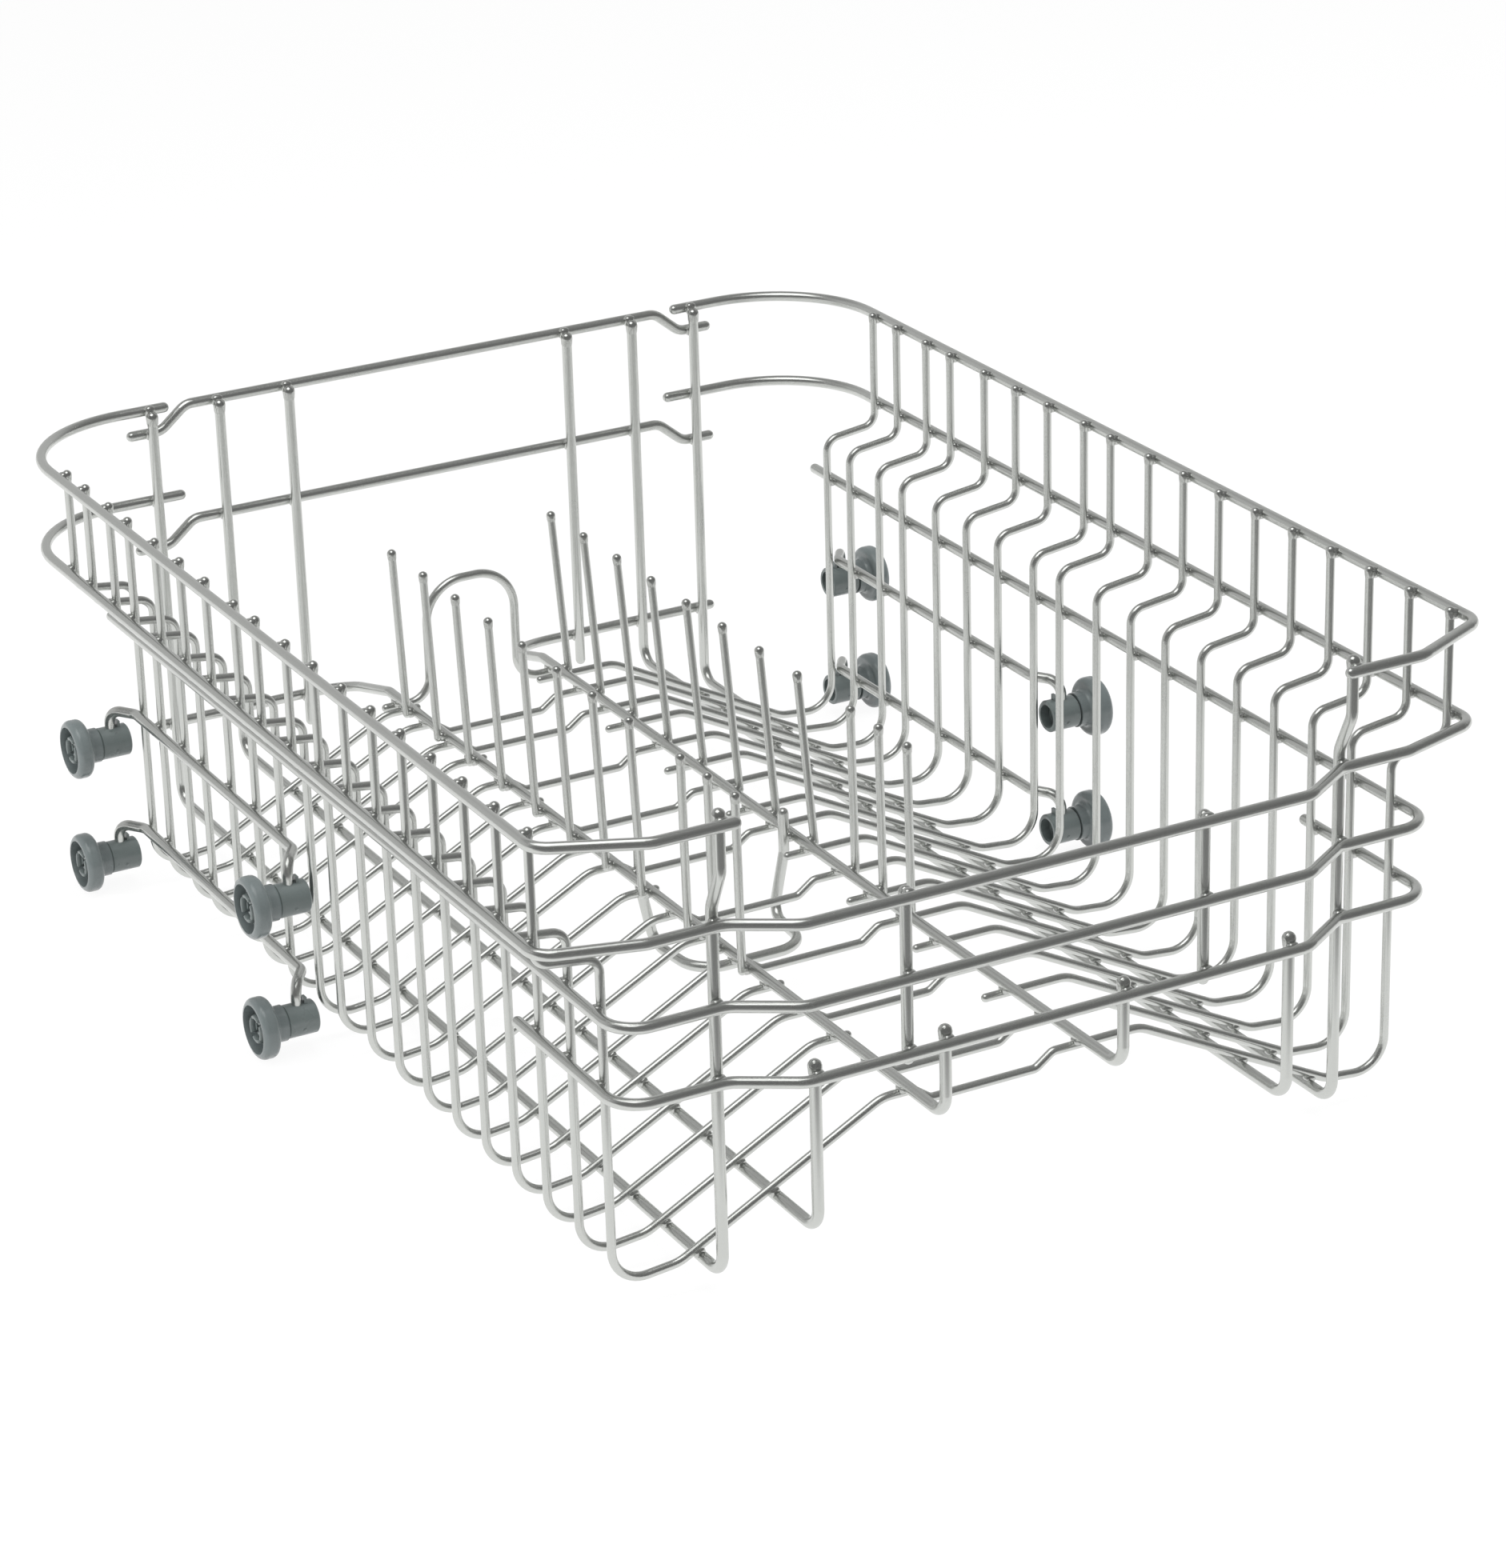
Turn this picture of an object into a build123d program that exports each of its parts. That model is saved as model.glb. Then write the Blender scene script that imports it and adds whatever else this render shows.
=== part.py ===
from build123d import *
import math
import os

os.makedirs("parts", exist_ok=True)

# Upper dish basket of a dishwasher. Millimetres, +Z up, +Y to the back, +X to the right.
# The lower rollers stand on Z = 0.

# Wire thickness over the coating, and the seam left where two wires are welded side by side.
rim_d = 4.2
wire_d = 3.2
arch_d = 3.6
weld_gap = 0.05
tip_share = 0.98

# Side view of a cross wire: half widths and heights of its bends.
side_half = 180.85
side_step = 23.55
tip_rise = 2.8
step_below = 8.1
step_fall = 3.0
floor_z = 7.8
knee_rise = 2.4
knee_in = 25.3
shoulder_past = 8.0
plateau_z = 51.2
dip_drop = 5.0
dip_run = 7.0
step_bend = 6.0
floor_bend = 12.0
knee_bend = 14.0
dip_bend = 4.0

# Spacing of the cross wires from the back to the front.
pitch = 24.25
short_gap = 19.4
wide_gap = 27.1
front_pitches = 8
short_stations = (1, 4, 6, 8, 10, 12, 14, 16)

# Rims and front wires.
second_rim_z = 141.3
rim_gap = 38.4
third_below = 18.5
front_wire_gap = 27.7
shoulder_back = 20.0
front_step = 13.8
top_front_step = 7.0
corner_in = 34.6
top_corner_run = 16.2
second_corner_run = 10.0
top_stub_past = 3.9
front_step_past = 2.1
front_step_run = 22.0
rim_corner = 9.0
third_corner = 12.0
front_bend = 10.0
lower_arm = 57.5
third_back = 17.5

# Back wires and the rear ends of the rims.
back_overhang = 58.0
back_top_drop = 0.4
back_second_drop = 11.2
back_drop = 9.4
back_drop_in = 16.3
back_drop_run = 11.4
back_wire_past = 7.9
top_back_corner = 48.5
second_back_corner = 44.0
top_back_stub_past = 6.9
second_back_stub_past = 11.4
back_post_past = 3.3
back_post_rise = 1.0
back_post_foot = 12.5

# Lengthwise floor wires.
outer_runner_in = 8.4
runner_gap = 29.4
left_centre_x = -44.2
right_centre_x = 26.4
runner_bend = 8.0
front_post_rise = 4.5
post_jog_above = 5.2
post_jog_rise = 15.0
front_stub_rise = 5.6
centre_back_drop = 8.2
centre_descent_back = 13.4
left_centre_turn = 16.0
right_centre_turn = 26.0
centre_back_past = 5.7
left_short_past = 6.0
right_short_past = 8.0
stay_x = 58.7
stay_rise = 2.7
stay_foot = 5.6

# Arch, hanging loop and tines between the centre runners.
arch_back = 6.7
arch_left_in = 15.4
arch_right_in = 15.2
arch_height = 47.95
arch_foot_past = 5.0
arch_foot_bend = 10.0
arch_shoulder_bend = 17.0
loop_rise = 12.05
loop_drop = 31.25
loop_forward = 17.7
loop_reach = 30.6
loop_waist = 5.95
loop_leg_inset = 5.3
loop_inset = 2.6
loop_leg_bend = 7.0
loop_nose_bend = 13.0
left_tine_height = 73.2
right_tine_height = 70.2
rear_tines = 8
front_tines = 3
tine_pitch = 29.9
tine_break = 40.6
front_tine_pitch = 20.8
left_tine_start = 5.6
right_tine_start = -7.2
left_tine_lean = 5.8
right_tine_lean = 10.5
front_tine_lean = 1.5

# Rollers and the wires that carry them.
wheel_r = 12.0
upper_axis_z = 61.7
roller_back = 9.9
roller_base = 178.2
roller_wire_rise = 14.0
roller_leg_out = 7.45
roller_jog = 11.0
roller_wire_bend = 6.0
barrel_in = 6.8
barrel_length = 12.5
barrel_r = 6.5
barrel_edge = 0.5
cup_r = 4.8
cup_depth = 4.0
hole_clearance = 0.06
socket_depth = 4.6
tab_length = 3.0
tab_height = 2.2
tab_thick = 1.1
parting = 0.3
sleeve_r = 7.0
sleeve_length = 5.1
flange_length = 6.9
rim_wall = 2.5
flange_land = 0.1
recess_draft = 0.6
sleeve_flare = 1.8
recess_depth = 4.4
axle_r = 3.5
axle_clearance = 0.05
barb_swell = 0.7
barb_length = 1.9
barb_gap = 0.25
finger_bore_r = 1.7
finger_slot = 1.3
finger_length = 7.5
finger_root = 1.0
neck_lap = 0.5
cut_past = 1.0

rim_r = rim_d / 2
wire_r = wire_d / 2
arch_r = arch_d / 2
beside_rim = rim_d + weld_gap
beside_wire = rim_r + wire_r + weld_gap

gaps = [short_gap, pitch, short_gap, wide_gap, pitch, pitch, wide_gap, short_gap, wide_gap]
gaps += [pitch] * front_pitches
rear_station_y = (sum(gaps) + shoulder_back + front_step - back_overhang) / 2
stations = [rear_station_y]
for gap in gaps:
    stations.append(stations[-1] - gap)

lower_half = side_half - side_step
rim_x = side_half + beside_wire
lower_rim_x = lower_half + beside_wire
shoulder_y = stations[-1] - shoulder_back
front_y = shoulder_y - front_step
top_front_y = shoulder_y - top_front_step
stub_y = front_y + beside_rim
post_y = shoulder_y + beside_rim
top_post_y = top_front_y + beside_rim
back_y = rear_station_y + back_overhang
back_post_y = back_y - beside_rim
top_rim_z = second_rim_z + rim_gap
step_top_z = second_rim_z - step_below
step_low_z = step_top_z - step_fall
third_rim_z = step_low_z - third_below
lower_front_z = third_rim_z - front_wire_gap
tip_z = top_rim_z + tip_rise
front_post_top_z = top_rim_z + front_post_rise
back_top_z = top_rim_z - back_top_drop
back_second_z = second_rim_z - back_second_drop
back_post_top_z = back_top_z + back_post_rise
post_jog_low_z = second_rim_z + post_jog_above
front_stub_top_z = lower_front_z + front_stub_rise
stay_top_z = second_rim_z + stay_rise
stay_low_z = lower_front_z - stay_foot
centre_back_z = plateau_z - centre_back_drop
back_post_low_z = centre_back_z - back_post_foot
knee_x = lower_half - knee_in
shoulder_x = shoulder_past - left_centre_x
back_post_x = left_centre_turn + back_post_past - left_centre_x
outer_runner_x = knee_x - outer_runner_in
inner_runner_x = outer_runner_x - runner_gap
corner_in_x = rim_x - corner_in
top_stub_x = outer_runner_x - top_stub_past
front_step_x = outer_runner_x - front_step_past
back_drop_x = outer_runner_x - back_drop_in
back_wire_half = outer_runner_x + back_wire_past
top_back_stub_x = outer_runner_x - top_back_stub_past
second_back_stub_x = outer_runner_x - second_back_stub_past
centre_back_half = outer_runner_x + centre_back_past
roller_leg_x = lower_rim_x + roller_leg_out
barrel_inner_x = roller_leg_x - barrel_in
recess_r = wheel_r - rim_wall
flange_round = rim_wall - flange_land
knee_z = floor_z + knee_rise
slope = math.atan2(plateau_z - knee_z, knee_x - shoulder_x)
centre_z = plateau_z + beside_wire
arch_left_x = left_centre_x + arch_left_in
arch_right_x = right_centre_x - arch_right_in
arch_top_z = centre_z + arch_height
loop_top_z = centre_z + loop_rise
loop_waist_z = centre_z - loop_waist
loop_z = centre_z - loop_drop
left_tine_top_z = plateau_z + left_tine_height
right_tine_top_z = plateau_z + right_tine_height


def path_of(points, bends):
    """Straight runs joined by tangent arcs, one bend radius for each inner corner."""
    points = [Vector(*point) for point in points]
    edges = []
    here = points[0]
    for before, corner, after, radius in zip(points, points[1:], points[2:], bends):
        arriving = (corner - before).normalized()
        leaving = (after - corner).normalized()
        half_turn = math.acos(max(-1.0, min(1.0, arriving.dot(leaving)))) / 2
        reach = radius * math.tan(half_turn)
        inward = (leaving - arriving).normalized()
        start = corner - arriving * reach
        middle = corner + inward * (radius / math.cos(half_turn) - radius)
        finish = corner + leaving * reach
        edges.append(Edge.make_line(here, start))
        edges.append(Edge.make_three_point_arc(start, middle, finish))
        here = finish
    edges.append(Edge.make_line(here, points[-1]))
    return Wire(edges)


def bent_wire(points, bends, radius):
    """A round wire along the bends, with a rounded tip at each end."""
    spine = path_of(points, bends)
    section = Plane(origin=spine @ 0, z_dir=spine % 0) * Circle(radius)
    rod = sweep(section, path=spine)
    for end in (0, 1):
        rod += Plane(origin=spine @ end, z_dir=spine % end) * Sphere(radius * tip_share)
    return rod.solids()[0]


def save(name, pieces):
    shape = pieces[0] if len(pieces) == 1 else Compound(children=pieces)
    export_step(shape, f"parts/{name}.step")


def flipped(points, side):
    return [(side * x, y, z) for x, y, z in points]


def both_sides(half):
    """A list that runs from the left end to the right end of a mirrored wire."""
    return flipped(half, -1) + half[::-1]


SIDES = (("left", -1), ("right", 1))

# Upper rims.
rim_tip = rim_r * tip_share
for word, side in SIDES:
    rim = [
        (top_back_stub_x, back_y, top_rim_z),
        (rim_x, back_y, top_rim_z),
        (rim_x, top_front_y + top_corner_run, top_rim_z),
        (corner_in_x, top_front_y, top_rim_z),
        (top_stub_x, top_front_y, top_rim_z),
    ]
    bends = [top_back_corner, rim_corner, front_bend]
    save(f"{word}_top_rim", [bent_wire(flipped(rim, side), bends, rim_r)])

# The rim below them, in one wire round the sides and the front.
half = [
    (second_back_stub_x, back_y, second_rim_z),
    (rim_x, back_y, second_rim_z),
    (rim_x, shoulder_y + second_corner_run, second_rim_z),
    (corner_in_x, shoulder_y, second_rim_z),
    (front_step_x, shoulder_y, second_rim_z),
    (front_step_x - front_step_run, front_y, second_rim_z),
]
bends = [second_back_corner, rim_corner, front_bend, front_bend, front_bend]
save("second_rim", [bent_wire(both_sides(half), bends + bends[::-1], rim_r)])

# Two lower wires with the same front, and arms of different length along the sides.
for name, level, arm_y in (
    ("third_rim", third_rim_z, rear_station_y + third_back),
    ("lower_front_wire", lower_front_z, stations[-1] + lower_arm),
):
    half = [
        (lower_rim_x, arm_y, level),
        (lower_rim_x, shoulder_y, level),
        (front_step_x - weld_gap, shoulder_y, level),
        (front_step_x - front_step_run, front_y, level),
    ]
    bends = [third_corner, front_bend, front_bend]
    save(name, [bent_wire(both_sides(half), bends + bends[::-1], rim_r)])

# Stepped wires across the back.
for name, level in (("back_top_wire", back_top_z), ("back_second_wire", back_second_z)):
    half = [
        (back_wire_half, back_y, level - back_drop),
        (back_drop_x + back_drop_run, back_y, level - back_drop),
        (back_drop_x, back_y, level),
    ]
    save(name, [bent_wire(both_sides(half), [runner_bend] * 4, rim_r)])


def below_slope(x):
    """Height of a runner that lies under the sloping part of the cross wires."""
    on_slope = knee_z + (knee_x - x) * math.tan(slope)
    return on_slope - beside_wire / math.cos(slope)


# Floor wires that turn up into posts at both ends.
for word, side in SIDES:
    level = below_slope(outer_runner_x)
    run = [
        (outer_runner_x, top_post_y, front_post_top_z - rim_tip),
        (outer_runner_x, top_post_y, post_jog_low_z + post_jog_rise),
        (outer_runner_x, post_y, post_jog_low_z),
        (outer_runner_x, post_y, level),
        (outer_runner_x, back_post_y, level),
        (outer_runner_x, back_post_y, back_post_top_z - rim_tip),
    ]
    save(f"{word}_outer_runner", [bent_wire(flipped(run, side), [runner_bend] * 4, rim_r)])
    level = below_slope(inner_runner_x)
    run = [
        (inner_runner_x, stub_y, front_stub_top_z - rim_tip),
        (inner_runner_x, stub_y, level),
        (inner_runner_x, back_post_y, level),
        (inner_runner_x, back_post_y, back_post_top_z - rim_tip),
    ]
    save(f"{word}_inner_runner", [bent_wire(flipped(run, side), [runner_bend] * 2, rim_r)])

# Centre runners, which drop at the back and turn outwards behind the posts.
for word, side, x, turn in (
    ("left", -1, left_centre_x, left_centre_turn),
    ("right", 1, right_centre_x, right_centre_turn),
):
    run = [
        (x, stub_y, front_stub_top_z - rim_tip),
        (x, stub_y, centre_z),
        (x, rear_station_y + centre_descent_back, centre_z),
        (x, back_y, centre_back_z),
        (side * centre_back_half, back_y, centre_back_z),
    ]
    save(f"{word}_centre_runner", [bent_wire(run, [runner_bend, runner_bend, turn], rim_r)])

# Plain uprights in the back and in the front.
for word, side in SIDES:
    post = [
        (back_post_x, back_post_y, back_post_low_z + rim_tip),
        (back_post_x, back_post_y, back_post_top_z - rim_tip),
    ]
    save(f"{word}_back_post", [bent_wire(flipped(post, side), [], rim_r)])
    stay = [
        (stay_x, stub_y, stay_low_z + rim_tip),
        (stay_x, stub_y, stay_top_z - rim_tip),
    ]
    save(f"{word}_front_stay", [bent_wire(flipped(stay, side), [], rim_r)])

# Arch between the centre runners, with its feet under them.
arch_y = rear_station_y + arch_back
foot_z = centre_z - rim_r - arch_r - weld_gap
arch = [
    (left_centre_x - arch_foot_past, arch_y, foot_z),
    (arch_left_x, arch_y, foot_z),
    (arch_left_x, arch_y, arch_top_z - arch_r),
    (arch_right_x, arch_y, arch_top_z - arch_r),
    (arch_right_x, arch_y, foot_z),
    (right_centre_x + arch_foot_past, arch_y, foot_z),
]
arch_bends = [arch_foot_bend, arch_shoulder_bend, arch_shoulder_bend, arch_foot_bend]
save("rear_arch", [bent_wire(arch, arch_bends, arch_r)])

# Loop that hangs between two stations, its legs beside the centre runners.
loop_y = stations[8] - loop_forward
loop_left_x = left_centre_x + beside_rim
loop_right_x = right_centre_x - beside_rim
loop = [
    (loop_left_x, loop_y, loop_top_z - rim_tip),
    (loop_left_x, loop_y, loop_waist_z),
    (loop_left_x + loop_leg_inset, loop_y, loop_z),
    (loop_left_x + loop_leg_inset + loop_inset, loop_y - loop_reach, loop_z),
    (loop_right_x - loop_leg_inset - loop_inset, loop_y - loop_reach, loop_z),
    (loop_right_x - loop_leg_inset, loop_y, loop_z),
    (loop_right_x, loop_y, loop_waist_z),
    (loop_right_x, loop_y, loop_top_z - rim_tip),
]
half_bends = [loop_leg_bend, loop_leg_bend, loop_nose_bend]
loop_bends = half_bends + half_bends[::-1]
save("hanging_loop", [bent_wire(loop, loop_bends, rim_r)])

# Tines on the outer sides of the centre runners.
wire_tip = wire_r * tip_share
tine_low_z = plateau_z + wire_r + weld_gap + wire_tip
for word, x, start, lean, top_z in (
    ("left", left_centre_x - beside_wire, left_tine_start, left_tine_lean, left_tine_top_z),
    ("right", right_centre_x + beside_wire, right_tine_start, right_tine_lean, right_tine_top_z),
):
    row = []
    y = rear_station_y - start
    for n in range(rear_tines + front_tines):
        tilt = lean if n < rear_tines else front_tine_lean
        tine = [(x, y - tilt, tine_low_z), (x, y, top_z - wire_tip)]
        row.append(bent_wire(tine, [], wire_r))
        if n < rear_tines - 1:
            y -= tine_pitch
        elif n < rear_tines:
            y -= tine_break
        else:
            y -= front_tine_pitch
    save(f"{word}_tine_row", row)

# Cross wires: one side of each, then the middle of those that run right across.
side_bends = [step_bend, step_bend, floor_bend, knee_bend, knee_bend]


def side_run(y):
    return [
        (side_half, y, tip_z - wire_tip),
        (side_half, y, step_top_z),
        (lower_half, y, step_low_z),
        (lower_half, y, floor_z),
        (knee_x, y, knee_z),
        (shoulder_x, y, plateau_z),
    ]


dip_left_x = left_centre_x + rim_r + dip_bend / 2
dip_right_x = right_centre_x - rim_r - 2 * dip_bend
short_wires = {"left": [], "right": []}
for number, y in enumerate(stations, 1):
    if number in short_stations:
        left = flipped(side_run(y), -1) + [(left_centre_x + left_short_past, y, plateau_z)]
        right = side_run(y) + [(right_centre_x - right_short_past, y, plateau_z)]
        short_wires["left"].append(bent_wire(left, side_bends, wire_r))
        short_wires["right"].append(bent_wire(right, side_bends, wire_r))
        continue
    dip = [
        (dip_left_x, y, plateau_z),
        (dip_left_x + dip_run, y, plateau_z - dip_drop),
        (dip_right_x - dip_run, y, plateau_z - dip_drop),
        (dip_right_x, y, plateau_z),
    ]
    run = flipped(side_run(y), -1) + dip + side_run(y)[::-1]
    bends = side_bends + [dip_bend] * 4 + side_bends[::-1]
    save(f"cross_wire_{number:02d}", [bent_wire(run, bends, wire_r)])
save("left_short_wires", short_wires["left"])
save("right_short_wires", short_wires["right"])

# Rollers: axis heights, and places along the side.
levels = (("upper", upper_axis_z), ("lower", wheel_r))
rear_roller_y = rear_station_y + roller_back
front_roller_y = rear_roller_y - roller_base
hole_floor = barrel_r - socket_depth

for word, side in SIDES:
    for level_word, axis_z in levels:
        z = axis_z + roller_wire_rise
        end_z = axis_z + hole_floor + rim_tip + hole_clearance
        run = [
            (roller_leg_x, front_roller_y, end_z),
            (roller_leg_x, front_roller_y, z),
            (lower_rim_x, front_roller_y + roller_jog, z),
            (lower_rim_x, rear_roller_y - roller_jog, z),
            (roller_leg_x, rear_roller_y, z),
            (roller_leg_x, rear_roller_y, end_z),
        ]
        rod = bent_wire(flipped(run, side), [roller_wire_bend] * 4, rim_r)
        save(f"{word}_{level_word}_roller_wire", [rod])

# One socket and one wheel, modelled on the right with the axis on the X axis.
barrel_outer_x = barrel_inner_x + barrel_length
wheel_inner_x = barrel_outer_x + parting
flange_x = wheel_inner_x + sleeve_length
wheel_outer_x = flange_x + flange_length
recess_x = wheel_outer_x - recess_depth
barb_x = recess_x + barb_gap
axle_end_x = barb_x + barb_length
finger_root_x = axle_end_x - finger_length + finger_root


def along_x(radius, start, end):
    middle = Pos((start + end) / 2, 0, 0) * Rot(0, 90, 0)
    return middle * Cylinder(radius, end - start)


barb = [
    (axle_end_x - finger_length, 0),
    (axle_end_x - finger_length, axle_r),
    (barb_x, axle_r),
    (barb_x, axle_r + barb_swell),
    (barb_x + barb_length / 3, axle_r + barb_swell),
    (axle_end_x, axle_r - barb_swell / 2),
    (axle_end_x, 0),
]
fingers = revolve(Plane.XY * make_face(Polyline(*barb, close=True)), axis=Axis.X)
fingers -= along_x(finger_bore_r, finger_root_x, axle_end_x + cut_past)
slot_x = (finger_root_x + axle_end_x) / 2
for turn in (45, 135):
    fingers -= Pos(slot_x, 0, 0) * Rot(turn, 0, 0) * Box(axle_end_x - finger_root_x, 4 * axle_r, finger_slot)

barrel = along_x(barrel_r, barrel_inner_x, barrel_outer_x)
barrel = chamfer(barrel.edges().filter_by(GeomType.CIRCLE), barrel_edge)
barrel -= along_x(cup_r, barrel_inner_x - cut_past, barrel_inner_x + cup_depth)
hole_r = rim_tip + hole_clearance
hole = Pos(roller_leg_x, 0, hole_floor + hole_r + barrel_r) * Cylinder(hole_r, 2 * barrel_r)
hole += Pos(roller_leg_x, 0, hole_floor + hole_r) * Sphere(hole_r)
tab_x = roller_leg_x - hole_r - tab_thick
tab = Pos(tab_x, 0, barrel_r) * Box(tab_thick, tab_length, 2 * tab_height)
neck = along_x(axle_r, barrel_outer_x - cut_past, axle_end_x - finger_length + neck_lap)
socket = barrel + tab + neck + fingers - hole

bore_r = axle_r + axle_clearance
section = [
    (wheel_inner_x, bore_r),
    (wheel_inner_x, sleeve_r),
    (flange_x, sleeve_r),
    (flange_x, wheel_r),
    (wheel_outer_x, wheel_r),
    (wheel_outer_x, recess_r),
    (recess_x, recess_r - recess_draft),
    (recess_x, bore_r),
]
outline = make_face(Polyline(*section, close=True))
outer = outline.vertices().filter_by(lambda v: v.Y > wheel_r - 0.1)
outline = fillet(outer, flange_round)
inner = outline.vertices().filter_by(lambda v: abs(v.X - flange_x) + abs(v.Y - sleeve_r) < 0.1)
outline = fillet(inner, sleeve_flare)
wheel = revolve(outline, axis=Axis.X)

for word, side in SIDES:
    hand = 1 if side > 0 else -1
    for place_word, y in (("front", front_roller_y), ("rear", rear_roller_y)):
        for level_word, axis_z in levels:
            spot = Pos(0, y, axis_z)
            for kind, piece in (("wheel", wheel), ("socket", socket)):
                solid = piece if hand > 0 else mirror(piece, about=Plane.YZ)
                name = f"{word}_{place_word}_{level_word}_{kind}"
                save(name, [(spot * solid).solids()[0]])
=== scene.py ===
# %% [markdown]
# # Coated wire basket
# The solids of every wire and roller come in as a fixed frame, in metres. Nothing in that frame is
# moved or reshaped here. This lesson gives the solids their finish, adds the small things that dip
# coating, welding and moulding leave behind, and sets up a plain studio.

# %% Load the frame
import math
import random

import bmesh
import bpy
from mathutils import Matrix, Vector
from mathutils.bvhtree import BVHTree


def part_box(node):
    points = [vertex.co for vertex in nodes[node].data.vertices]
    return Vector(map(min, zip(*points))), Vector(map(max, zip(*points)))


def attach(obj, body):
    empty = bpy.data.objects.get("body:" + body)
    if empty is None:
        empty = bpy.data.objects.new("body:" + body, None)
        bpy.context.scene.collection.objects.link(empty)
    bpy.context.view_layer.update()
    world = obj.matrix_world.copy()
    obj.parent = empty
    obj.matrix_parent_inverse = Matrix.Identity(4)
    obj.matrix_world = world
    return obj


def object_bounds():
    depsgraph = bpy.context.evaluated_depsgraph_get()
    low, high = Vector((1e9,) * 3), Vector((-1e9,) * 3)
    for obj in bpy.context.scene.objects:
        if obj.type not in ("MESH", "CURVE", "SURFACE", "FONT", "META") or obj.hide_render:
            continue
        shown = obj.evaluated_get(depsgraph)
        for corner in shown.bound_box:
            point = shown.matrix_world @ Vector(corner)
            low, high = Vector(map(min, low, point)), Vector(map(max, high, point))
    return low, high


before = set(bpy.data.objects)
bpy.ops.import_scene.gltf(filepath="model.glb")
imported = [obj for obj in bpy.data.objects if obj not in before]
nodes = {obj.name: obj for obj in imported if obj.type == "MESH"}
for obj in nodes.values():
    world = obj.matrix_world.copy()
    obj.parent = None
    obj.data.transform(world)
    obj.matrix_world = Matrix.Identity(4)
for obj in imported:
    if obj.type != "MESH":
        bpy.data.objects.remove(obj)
cad_low, cad_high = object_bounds()
print("solids:", len(nodes), "box:", [round(v, 4) for v in (*cad_low, *cad_high)])

# %% [markdown]
# The basket has two thicknesses of wire. Rims, runners and posts are of the thick one, and the cross
# wires and tines of the thin one. Both are read from the frame, so that a bead or a tip that is made
# here always suits the wire that carries it.

# %% Wires by their part in the basket
wheels = sorted(n for n in nodes if n.endswith("_wheel"))
sockets = sorted(n for n in nodes if n.endswith("_socket"))
wires = sorted(n for n in nodes if n not in wheels + sockets)
cross_wires = [n for n in wires if n.startswith("cross_wire") or n.endswith("short_wires")]
tine_rows = [n for n in wires if n.endswith("tine_row")]


def thickness(node, axis):
    """Size of a node's box along one axis."""
    low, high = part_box(node)
    return high[axis] - low[axis]


wire_r = thickness("cross_wire_02", 1) / 2
rim_r = thickness("left_top_rim", 2) / 2
print("wires:", len(wires), "thin radius:", round(wire_r, 5), "thick radius:", round(rim_r, 5))

# %% [markdown]
# Where do the welds sit? A flat cut through a wire is a small ring of points. A cut taken in the
# plane of one wire, through all the wires that may touch it, gives the middle of each ring, and the
# nearest point on the first wire says how far apart they are. Two wires that nearly touch are
# welded. The cut is made on a copy, so the frame's own meshes stay as they are.

# %% Cutting wires to find their middles
same_ring = 3 * wire_r


def rings(node, place, normal):
    """Middles of the rings that a flat cut leaves on a node."""
    copy = bmesh.new()
    copy.from_mesh(nodes[node].data)
    every = copy.verts[:] + copy.edges[:] + copy.faces[:]
    cut = bmesh.ops.bisect_plane(copy, geom=every, plane_co=place, plane_no=normal)["geom_cut"]
    points = [v.co.copy() for v in cut if isinstance(v, bmesh.types.BMVert)]
    copy.free()
    groups = []
    for point in points:
        near = [g for g in groups if any((point - other).length < same_ring for other in g)]
        merged = [point] + [other for g in near for other in g]
        groups = [g for g in groups if g not in near] + [merged]
    middles = []
    for g in groups:
        low = Vector(map(min, *g)) if len(g) > 1 else g[0]
        high = Vector(map(max, *g)) if len(g) > 1 else g[0]
        middles.append((low + high) / 2)
    return middles


def tree_of(node):
    """A search tree over the faces of a node."""
    mesh = nodes[node].data
    return BVHTree.FromPolygons([v.co for v in mesh.vertices], [p.vertices for p in mesh.polygons])


trees = {n: tree_of(n) for n in wires}
print("search trees:", len(trees))

# %% [markdown]
# The thin wires stand in flat planes one behind the other along the basket. Their places along Y are
# the stations, read from the box of each single wire and from the gaps in the two groups of short
# wires. At every station the rims, runners and roller wires are cut, and each ring that lies against
# the thin wire there is a weld.


# %% Stations and the welds on the thin wires
def places_along(node, gap):
    """The Y middle of each piece of a group, where a gap along Y parts the pieces."""
    ys = sorted(v.co.y for v in nodes[node].data.vertices)
    parts = [[ys[0]]]
    for y in ys[1:]:
        if y - parts[-1][-1] > gap:
            parts.append([])
        parts[-1].append(y)
    return [(part[0] + part[-1]) / 2 for part in parts]


station_gap = 6 * wire_r
weld_reach = 0.35e-3
lengthwise = [n for n in wires if "rim" in n or "runner" in n or "roller_wire" in n]
lengthwise.append("lower_front_wire")
welds = {"side": [], "floor": [], "post": [], "tine": []}


def against(middle, radius, node):
    """Point and outward direction where a ring of that radius lies against a node, or nothing."""
    point, _, _, distance = trees[node].find_nearest(middle)
    if distance - radius > weld_reach:
        return None
    return point, (middle - point).normalized()


stations = [(y, n) for n in cross_wires for y in places_along(n, station_gap)]
for y, node in stations:
    for long_wire in lengthwise:
        low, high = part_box(long_wire)
        if not low.y < y < high.y:
            continue
        for middle in rings(long_wire, (0, y, 0), (0, 1, 0)):
            touch = against(middle, rim_r, node)
            if touch:
                row = "floor" if "runner" in long_wire else "side"
                welds[row].append((*touch, Vector((0, 1, 0))))
print("stations:", len(stations), "side welds:", len(welds["side"]), "floor:", len(welds["floor"]))

# %% [markdown]
# Uprights are welded the other way round: posts, stays, tines and the legs of the loop stand, and the
# wires that they cross lie flat. So the cut is level, at the height of each lying wire. The arch stands
# across the basket, so the two runners that carry it are cut at its own place along Y.

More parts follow.
